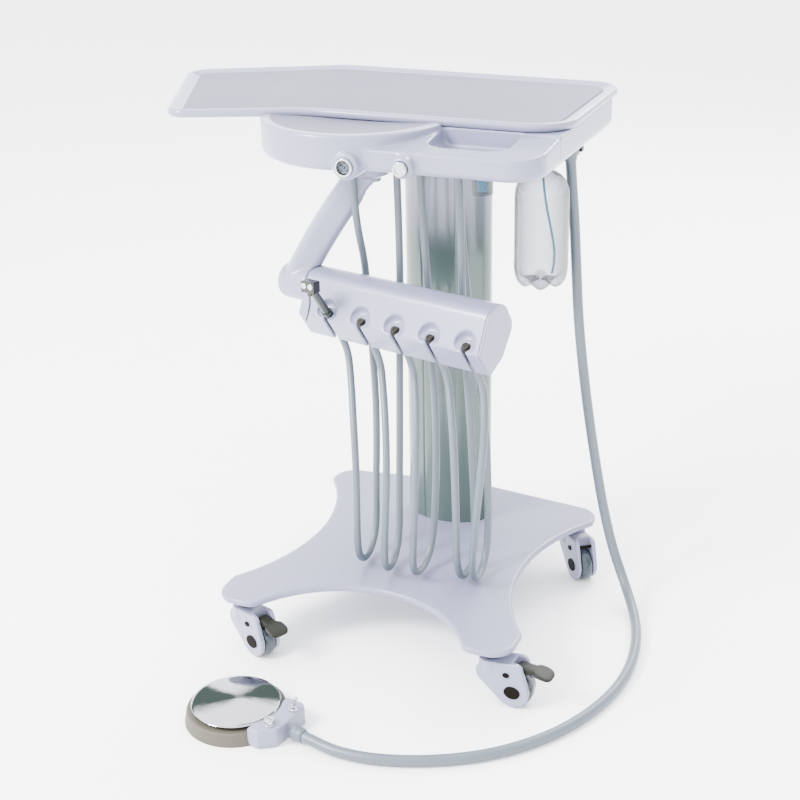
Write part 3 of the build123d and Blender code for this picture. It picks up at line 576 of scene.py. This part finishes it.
# ---------------------------------------------------------------- water bottle
def make_bottle():
    """Blown bottle that stands on five feet, with a thin wall."""
    low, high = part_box("bottle")
    radius, height = box_radius("bottle"), high.z - low.z
    axis = box_middle("bottle")
    axis.z = low.z
    steps, feet, foot_rise, foot_pinch, feet_top, wall = 120, 5, .013, 0.06, .03, .0012
    profile = [(0, .010), (.008, .0085), (.014, .0050), (.020, .0015), (.026, .0004),
               (.032, .0030), (.037, .0080), (.0405, .0150), (.0425, .0230), (radius, .0330),
               (radius, .0700), (radius, .1500), (radius - .0006, .1570), (.0415, .1635),
               (.0385, .1705), (.0340, .1775), (.0280, .1835), (.0210, .1878), (.0155, .1905),
               (.0142, .1925), (.0138, .1945), (.0138, height)]
    rings = []
    for r, z in profile:
        ring = []
        reach = max(0.0, math.sin(math.pi * min(r / radius, 1))) if z < feet_top else 0.0
        for turn in turns(steps):
            valley = (0.5 - 0.5 * math.cos(feet * turn)) ** 1.5
            out = r * (1 - foot_pinch * valley * reach)
            rise = foot_rise * valley * reach
            ring.append(axis + Vector((out * math.cos(turn), out * math.sin(turn), z + rise)))
        rings.append(ring)
    piece = loft("bottle_shell", rings, close_ends=False)
    shell = piece.modifiers.new("wall", "SOLIDIFY")
    shell.thickness, shell.offset = wall, -1
    apply_modifiers(piece)
    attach(stand_for(piece, "bottle"), "bottle")


def make_pickup_tube():
    axis = box_middle("bottle")
    line = route_line("pickup", PICKUP_ROUTE, Vector((axis.x, axis.y, 0)))
    piece = tube("pickup_tube_line", line, PICKUP_R, sides=14)
    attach(stand_for(piece, "pickup_tube"), "cart")


# ---------------------------------------------------------------- column
def make_column():
    """Oval tube whose front and back panels are set off by fine grooves."""
    low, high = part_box("column")
    half_x, half_y = (high.x - low.x) / 2, (high.y - low.y) / 2
    middle = (low + high) / 2
    wall, groove_x, groove_wide, groove_deep, steps = .003, .030, .0012, .0016, 240
    outer, inner = [], []
    for turn in turns(steps):
        x, y = half_x * math.cos(turn), half_y * math.sin(turn)
        nick = groove_deep * math.exp(-((abs(x) - groove_x) / groove_wide) ** 2)
        outer.append(Vector((x, y - math.copysign(nick, y), 0)))
        inner.append(Vector((x * (1 - wall / half_x), y * (1 - wall / half_y), 0)))
    rings = []
    for outline, z in ((outer, low.z), (outer, high.z), (inner, high.z), (inner, low.z)):
        rings.append([Vector((middle.x, middle.y, z)) + point for point in outline])
    piece = loft("column_tube", rings + [rings[0]], close_ends=False)
    keep_creases(piece, 50)
    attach(stand_for(piece, "column"), "cart")


# ---------------------------------------------------------------- gauge and control knob
FORWARD = Matrix.Rotation(math.pi / 2, 4, "X")          # turns local Z to the front panel's -Y


def make_gauge_marks():
    """Tick marks round three quarters of the dial, just proud of it."""
    ticks, first_angle, sweep = 12, 225, 270
    face_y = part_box("gauge_dial")[1].y - .00105
    thick, far = .0002, .0092
    middle = box_middle("gauge_dial")
    points, faces = [], []
    for tick in range(ticks + 1):
        turn = math.radians(first_angle - sweep * tick / ticks)
        outward = Vector((math.cos(turn), 0, math.sin(turn)))
        side = Vector((-math.sin(turn), 0, math.cos(turn)))
        near, half = (.0054, .0008) if tick % 3 == 0 else (.0066, .0005)
        first = len(points)
        for y in (face_y, face_y - thick):
            centre = Vector((middle.x, y, middle.z))
            for along, across in ((near, -half), (far, -half), (far, half), (near, half)):
                points.append(centre + outward * along + side * across)
        faces += [tuple(first + i for i in ring) for ring in
                  ((0, 1, 2, 3), (4, 5, 6, 7), (0, 1, 5, 4), (1, 2, 6, 5), (2, 3, 7, 6),
                   (3, 0, 4, 7))]
    place_on(mesh_piece("gauge_marks", points, faces), "cart", "black_plastic")


def make_gauge_shade():
    """Dark ring round the dial, inside the bezel: painted shade where the bezel meets the dial."""
    middle, radius = box_middle("gauge_dial"), box_radius("gauge_dial")
    back_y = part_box("gauge_dial")[1].y - .0010
    profile = [(radius - .0010, 0), (radius - .0001, 0), (radius - .0001, .0012),
               (radius - .0006, .0014), (radius - .0010, .0012)]
    place = Matrix.Translation((middle.x, back_y, middle.z)) @ FORWARD
    shade = lathe("gauge_shade_ring", profile, place, 64, hollow=True)
    place_on(shade, "cart", "black_plastic")


def make_knob_shade_ring():
    """Dark ring between the control knob and the head's front panel: painted shade for the knob's
    dark edges.
    """
    middle, radius = box_middle("control_knob"), box_radius("control_knob")
    panel_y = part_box("gauge_bezel")[0].y + .005
    profile = [(radius - .0016, 0), (radius + .0006, 0), (radius + .0005, .0005),
               (radius - .0016, .0005)]
    place = Matrix.Translation((middle.x, panel_y, middle.z)) @ FORWARD
    place_on(lathe("knob_shade_ring", profile, place, 64, hollow=True), "cart", "black_plastic")


# ---------------------------------------------------------------- foot control
def make_foot_disc():
    """Slightly domed disc with a rolled edge."""
    low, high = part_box("pedal_disc")
    radius, top = box_radius("pedal_disc"), high.z
    centre = box_middle("pedal_disc")
    centre.z = 0
    profile = [(.0080, low.z), (.0080, .0282), (.0600, .0282), (radius - .0040, .0280),
               (radius - .0030, .0262), (radius - .0012, .0262), (radius - .0002, .0270),
               (radius, .0282), (radius - .0008, top - .0035), (radius - .0040, top - .0031),
               (.0560, top - .0025), (.0420, top - .0016), (.0280, top - .0008),
               (.0140, top - .0003), (.0010, top)]
    disc = lathe("foot_disc", profile, Matrix.Translation(centre), 120)
    keep_creases(disc, 50)
    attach(stand_for(disc, "pedal_disc"), "pedal_disc")
    disc.data.materials[0] = DISC_CHROME


def on_foot_block(joint):
    """Matrix on the top of the foot control's block, where the joint's axis meets it."""
    x, y, _ = JOINTS[joint]["pos_m"]
    return Matrix.Translation((x, y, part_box("pedal_housing")[1].z))


def make_knob_collar():
    profile = [(.0031, 0), (.0085, 0), (.0088, .0006), (.0086, .0022), (.0076, .0029),
               (.0031, .0029)]
    collar = lathe("knob_collar", profile, on_foot_block("pedal_knob_turn"), 48, hollow=True)
    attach(stand_for(collar, "pedal_fittings"), "cart")


def make_toggle_nut():
    """Six-sided nut with a round collar above it."""
    place, wedge = on_foot_block("pedal_toggle_tip"), math.tau / 6
    hexagons = [(.0076, 0), (.0080, .0005), (.0080, .0034), (.0074, .0040)]     # to corners, rise
    circles = [(.0056, .0040), (.0053, .0068), (.0045, .0070)]                  # radius, rise
    rings = []
    for size, rise in hexagons + circles:
        ring = []
        for turn in turns(48):
            reach = size
            if (size, rise) in hexagons:
                reach *= math.cos(wedge / 2) / math.cos((turn % wedge) - wedge / 2)
            ring.append(place @ Vector((reach * math.cos(turn), reach * math.sin(turn), rise)))
        rings.append(ring)
    nut = loft("toggle_nut", rings)
    keep_creases(nut, 30)
    place_on(nut, "cart", "chrome")


def make_hose_sleeve():
    """Ribbed sleeve where the hose enters the foot control."""
    line = route_line("relief", FOOT_HOSE_ROUTE[-3:], BASE)
    end, towards = line[-1], (line[-4] - line[-1]).normalized()
    turn = towards.to_track_quat("Z", "Y").to_matrix().to_4x4()
    bore = FOOT_HOSE_R + .0001
    profile = [(bore, -.004), (.0122, -.004), (.0124, .004), (.0114, .0055), (.0118, .0075),
               (.0110, .0095), (.0114, .0115), (.0105, .0140), (.0098, .0158), (bore, .0160)]
    place = Matrix.Translation(end) @ turn
    place_on(lathe("foot_hose_sleeve", profile, place, 48, hollow=True), "cart", "hose_grey")


# ---------------------------------------------------------------- casters
def caster_frame(name):
    """Matrix on a caster's wheel centre: X along the trail, Y up, Z along the axle."""
    joint = JOINTS["roll_" + name]
    axle, up = Vector(joint["axis"]).normalized(), Vector((0, 0, 1))
    trail = axle.cross(up).normalized()
    turn = Matrix((trail, up, trail.cross(up))).transposed()
    return Matrix.Translation(joint["pos_m"]) @ turn.to_4x4()


def make_wheel(name):
    """Rounded tyre on a dished hub."""
    node, place = "caster_wheel_" + name, caster_frame(name)
    half = .0100
    tread = [(.0200, -half + .001), (.0235, -half), (.0262, -half + .0006),
             (.0282, -half + .0030), (.0290, -half + .0065), (.0290, half - .0065),
             (.0282, half - .0030), (.0262, half - .0006), (.0235, half), (.0200, half - .001)]
    hub = [(.0041, -.0085), (.0075, -.0085), (.0085, -.0055), (.0165, -.0045),
           (.0180, -.0080), (.0201, -.0088), (.0201, .0088), (.0180, .0080), (.0165, .0045),
           (.0085, .0055), (.0075, .0085), (.0041, .0085)]
    tyre = lathe("tyre_" + name, tread, place, hollow=True)
    core = lathe("hub_" + name, hub, place, hollow=True)
    place_on(core, BODY_OF[node], "wheel_grey")
    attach(stand_for(tyre, node), BODY_OF[node])


def squared_circle(turn):
    """A point on a circle drawn out towards the corners of its square."""
    squareness = 0.35
    return [math.copysign(abs(value) ** squareness, value)
            for value in (math.cos(turn), math.sin(turn))]


def make_brake_lever(name):
    """Foot lever with a narrow arm between the cheeks and a wider paddle with a rounded end."""
    # from the wheel's centre along the trail, underside and top from the floor, half width, in mm
    stations = [(2.0, 61.0, 64.0, 8.0), (4.0, 60.4, 71.0, 9.6), (7.0, 59.9, 72.0, 10.0),
                (12.0, 58.8, 72.0, 10.0), (16.0, 58.2, 72.0, 10.0), (20.0, 60.0, 72.0, 10.0),
                (24.0, 61.6, 71.5, 10.0), (30.0, 61.8, 70.8, 10.2), (32.0, 61.9, 70.5, 12.0),
                (34.5, 62.0, 70.1, 15.2), (39.5, 61.8, 69.3, 16.6), (46.0, 60.8, 67.5, 17.0),
                (52.0, 59.5, 65.3, 16.3), (56.0, 58.8, 63.8, 14.0), (58.7, 58.7, 62.6, 10.0),
                (60.0, 59.4, 61.6, 5.0)]
    node, place = "brake_lever_" + name, caster_frame(name)
    forward = 1 if (place.inverted() @ box_middle(node)).x > 0 else -1
    axle_z = place.translation.z
    rings = []
    for along, under, top, half_wide in stations:
        ring = []
        for turn in turns(32):
            across, rise = squared_circle(turn)
            across *= half_wide / 1000
            rise = (top + under) / 2000 - axle_z + rise * (top - under) / 2000
            ring.append(place @ Vector((forward * along / 1000, rise, across)))
        rings.append(ring)
    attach(stand_for(loft(node + "_paddle", rings), node), BODY_OF[node])


def make_casters():
    for name in ("front_right", "front_left", "rear_right", "rear_left"):
        make_wheel(name)
        moulded("caster_fork_" + name, 0.0011, 5)
    for name in ("front_right", "front_left"):
        make_brake_lever(name)


# ---------------------------------------------------------------- colours within the nodes, and painted shade in the dish
def paint_dish_shade(shell):
    """The small dish's upward faces in front of the tray take the tray floor's grey: painted shade
    of its sunken floor.
    """
    centre, radius, lowest = at(-.098, .025, 0), .1355, .8355
    shell.data.materials.append(MATERIALS["grey_mat"])
    for face in shell.data.polygons:
        offset = face.center - centre
        in_dish = math.hypot(offset.x, offset.y) < radius and face.center.z > lowest
        if in_dish and face.normal.z > 0.8:
            face.material_index = 1


def dress_nodes():
    """Gives every CAD node that shows the material of its slot."""
    for node, piece in NODES.items():
        for slot in piece.material_slots:
            slot.material = MATERIALS[SLOT_OF[node]]


def dress_small_parts():
    """The syringe's metals and the gauge's lens differ from the rest of their slots."""
    for node, material in (("syringe_body", HANDLE_METAL), ("syringe_nozzle", HEAD_CHROME),
                           ("gauge_lens", LENS), ("air_button", MATERIALS["chrome"]),
                           ("water_button", MATERIALS["chrome"])):
        NODES[node].material_slots[0].material = material


# ---------------------------------------------------------------- assembly
add_camera()
add_floor()
add_sky()
add_lights()
dress_nodes()
make_instrument_hoses()
make_foot_hose()
make_tray()
make_bottle()
make_pickup_tube()
make_casters()
body_shell = moulded("body_shell", 0.0020, 8)
moulded("arm", 0.0022, 8)
moulded("holder", 0.0014, 6)
moulded("holder_end_cap", 0.0014, 4)
moulded("pedal_housing", 0.0010, 4)
moulded("syringe_head", 0.0006, 3).data.materials[0] = HEAD_CHROME
moulded("base_plate", 0.0022, 3)
make_column()
make_gauge_marks()
make_gauge_shade()
make_knob_shade_ring()
make_foot_disc()
make_knob_collar()
make_toggle_nut()
make_hose_sleeve()
paint_dish_shade(body_shell)
dress_small_parts()
